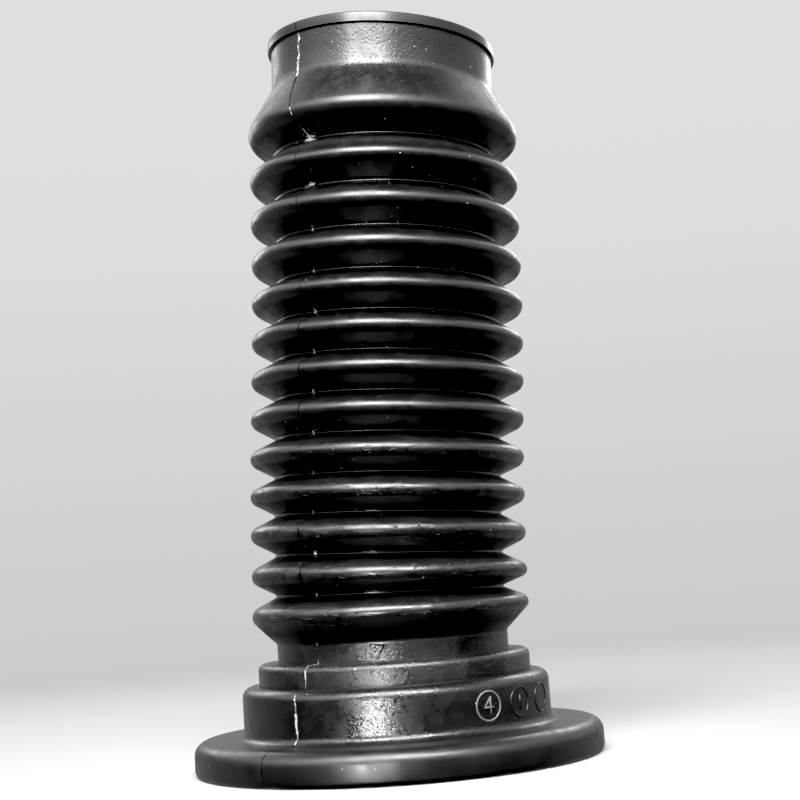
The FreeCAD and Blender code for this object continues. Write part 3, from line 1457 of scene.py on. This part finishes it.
@dataclass(frozen=True)
class FloorFinish(Finish):
    """The pale floor, which fades into the backdrop."""

    name: str = "pale_floor"
    tone: float = 0.40
    fade: Span = (0.20, 0.75)

    def surface(self, graph: Graph) -> Wire:
        """The floor's shader.

        Args:
            graph: The node tree.

        Returns:
            The shader's output.
        """
        place = graph.node("ShaderNodeTexCoord")["Object"]
        distance = graph.node("ShaderNodeVectorMath", {"operation": "LENGTH"}, {0: place})["Value"]
        solid = graph.node("ShaderNodeBsdfDiffuse", None, {"Color": grey(self.tone)})["BSDF"]
        clear = graph.node("ShaderNodeBsdfTransparent")["BSDF"]
        inputs = {0: distance.rise(*self.fade), 1: solid, 2: clear}
        return graph.node("ShaderNodeMixShader", None, inputs)[0]


@dataclass(frozen=True)
class Floor:
    """The round floor, a hair below the boot."""

    radius: float = 1.2
    gap: float = 0.00005
    segments: int = 96
    finish: Finish = FloorFinish()

    def build(self) -> None:
        """Lays the floor, which isn't seen in reflections."""
        mesh = bmesh.new()
        lowered = Matrix.Translation((0.0, 0.0, -self.gap))
        bmesh.ops.create_circle(
            mesh, cap_ends=True, segments=self.segments, radius=self.radius, matrix=lowered
        )
        floor = add_object("floor", mesh)
        floor.data.materials.append(self.finish.material())
        floor.visible_glossy = False


@dataclass(frozen=True)
class Room:
    """A pale room that in reflections is dark round the camera, below the key lamp."""

    ambient: float = 1.10
    backdrop_low: float = 0.60
    backdrop_high: float = 0.74
    rear_glow: float = 0.42
    sky_glow: float = 2.0
    front_glow: float = 4.4
    low_glow: float = 0.12
    right_glow: float = 1.4
    zenith_dim: float = 0.88

    def build(self) -> None:
        """Fills the world."""
        world = bpy.data.worlds.new("studio")
        bpy.context.scene.world = world
        world.use_nodes = True
        graph = Graph(world.node_tree)
        direction = graph.parts(graph.node("ShaderNodeTexCoord")["Generated"])
        up = direction["Z"]
        glow = self._glow(graph, direction["X"], direction["Y"], up)
        evenly = {"Red": glow, "Green": glow, "Blue": glow}
        seen = graph.node("ShaderNodeCombineColor", None, evenly)["Color"]
        ray = graph.node("ShaderNodeLightPath")
        colour = graph.mix(ray["Is Glossy Ray"], grey(self.ambient), seen)
        low, high = grey(self.backdrop_low), grey(self.backdrop_high)
        backdrop = graph.mix(up.rise(-0.10, 0.30), low, high)
        colour = graph.mix(ray["Is Camera Ray"], colour, backdrop)
        background = graph.node("ShaderNodeBackground", None, {"Color": colour, "Strength": 1.0})
        graph.node("ShaderNodeOutputWorld", None, {"Surface": background[0]})

    def _glow(self, graph: Graph, across: Wire, away: Wire, up: Wire) -> Wire:
        """How bright the room is in reflections.

        Args:
            graph: The node tree.
            across: The direction's share towards +X.
            away: The direction's share towards +Y.
            up: The direction's share towards +Z.

        Returns:
            The highest of the glows behind, above, low in front and at the right.
        """
        rear = away.rise(0.0, 0.20) * up.rise(-0.82, -0.58) * self.rear_glow
        front = across * -0.30 - away * 0.95
        sky = up.rise(0.15, 0.62) * (1.0 - self.zenith_dim * up.rise(0.64, 0.92))
        sky *= self.sky_glow + self.front_glow * front.rise(-0.05, 0.85)
        low = front.rise(0.40, 1.0) * up.rise(-0.50, -0.10) * self.low_glow
        right = across.rise(0.25, 0.80) * up.rise(0.0, 0.20) * (1.0 - up.rise(0.22, 0.40))
        right *= self.right_glow
        return graph.highest(graph.highest(rear, sky), graph.highest(low, right))


@dataclass(frozen=True)
class Camera:
    """The camera, which stands where the photograph was taken from."""

    place: Place = (-0.01256, -0.44646, 0.05042)
    yaw: float = 0.04312
    pitch: float = 0.11309
    roll: float = -0.06838
    lens: float = 70.378
    sensor: float = 36.0

    def build(self) -> None:
        """Sets up the camera and makes it the scene's."""
        data = bpy.data.cameras.new("camera")
        data.lens = self.lens
        data.sensor_width = self.sensor
        camera = bpy.data.objects.new("camera", data)
        turn = Matrix.Rotation(-self.yaw, 4, "Z")
        turn @= Matrix.Rotation(math.pi / 2.0 + self.pitch, 4, "X")
        turn @= Matrix.Rotation(self.roll, 4, "Z")
        camera.matrix_world = Matrix.Translation(self.place) @ turn
        bpy.context.scene.collection.objects.link(camera)
        bpy.context.scene.camera = camera


@dataclass(frozen=True)
class Softbox:
    """One soft lamp that is aimed at a point of the boot."""

    name: str
    place: Place
    aim: Place
    width: float
    height: float
    watts: float
    spread_degrees: float = 180.0

    def build(self) -> None:
        """Hangs the lamp."""
        lamp = bpy.data.lights.new(self.name, "AREA")
        lamp.shape = "RECTANGLE"
        lamp.size = self.width
        lamp.size_y = self.height
        lamp.energy = self.watts
        lamp.spread = math.radians(self.spread_degrees)
        holder = bpy.data.objects.new(self.name, lamp)
        holder.location = self.place
        towards = Vector(self.aim) - Vector(self.place)
        holder.rotation_euler = towards.to_track_quat("-Z", "Y").to_euler()
        holder.visible_camera = False
        bpy.context.scene.collection.objects.link(holder)


@dataclass(frozen=True)
class Studio:
    """The floor, the room, the camera and the lamps."""

    floor: Floor = Floor()
    room: Room = Room()
    camera: Camera = Camera()
    lamps: tuple[Softbox, ...] = (
        Softbox("key_softbox", (-0.095, -0.38, 0.480), (0.0, 0.0, 0.11), 0.33, 0.31, 7.6),
        Softbox(
            "low_strip", (-0.120, -0.39, 0.010), (-0.008, -0.042, 0.014), 0.045, 0.06, 0.018, 18.0
        ),
        Softbox(
            "side_strip", (0.145, -0.35, 0.360), (0.022, -0.035, 0.048), 0.14, 0.08, 0.042, 16.0
        ),
        Softbox("rear_right_softbox", (0.30, 0.44, 0.34), (0.0, 0.0, 0.10), 0.20, 0.20, 0.5),
        Softbox("rear_left_softbox", (-0.32, 0.42, 0.30), (0.0, 0.0, 0.10), 0.20, 0.20, 0.4),
    )
    black_level: float = 0.016

    def build(self) -> None:
        """Sets up everything round the boot, with blacks as deep as the photograph's."""
        view = bpy.context.scene.view_settings
        view.view_transform = "Standard"
        view.use_curve_mapping = True
        view.curve_mapping.black_level = (self.black_level,) * 3
        view.curve_mapping.update()
        for fitting in (self.floor, self.room, self.camera, *self.lamps):
            fitting.build()


def main() -> None:
    """Builds the boot, its marks and the studio, and logs each piece's faces and finish."""
    logging.basicConfig(level=logging.INFO, format="%(name)s: %(message)s")
    low, high = (Vector(corner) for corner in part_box(NODE))
    wall = Wall(flange_radius=(high.x - low.x) / 2.0, boot_height=high.z - low.z)
    stance = Stance()
    front, rear = Seam(), Seam(azimuth_degrees=140.4)
    dark = MarkFinish("dark_mark", tone=0.006, roughness=0.30)
    pale_finish = MarkFinish("pale_mark", tone=0.10, roughness=0.45)
    # Painted shade: the flow mark's cleft is flat black with almost no reflection.
    cleft = MarkFinish("cleft_painted_shade", tone=0.001, roughness=0.90, specular=0.02)
    parts: tuple[Moulded, ...] = (
        BootSkin(wall, stance, RubberFinish(), front),
        PartingFlash(wall, stance, TornFinish(), "front_flash", front),
        PartingFlash(wall, stance, TornFinish(), "rear_flash", rear),
        MouldMarks(wall, stance, dark, pale_finish),
        FlowMark(wall, stance, cleft),
    )
    for part in parts:
        for piece in part.build():
            finish = piece.data.materials[0].name
            LOG.info("%s: %d faces, %s", piece.name, len(piece.data.polygons), finish)
    Studio().build()


if __name__ == "__main__":
    main()
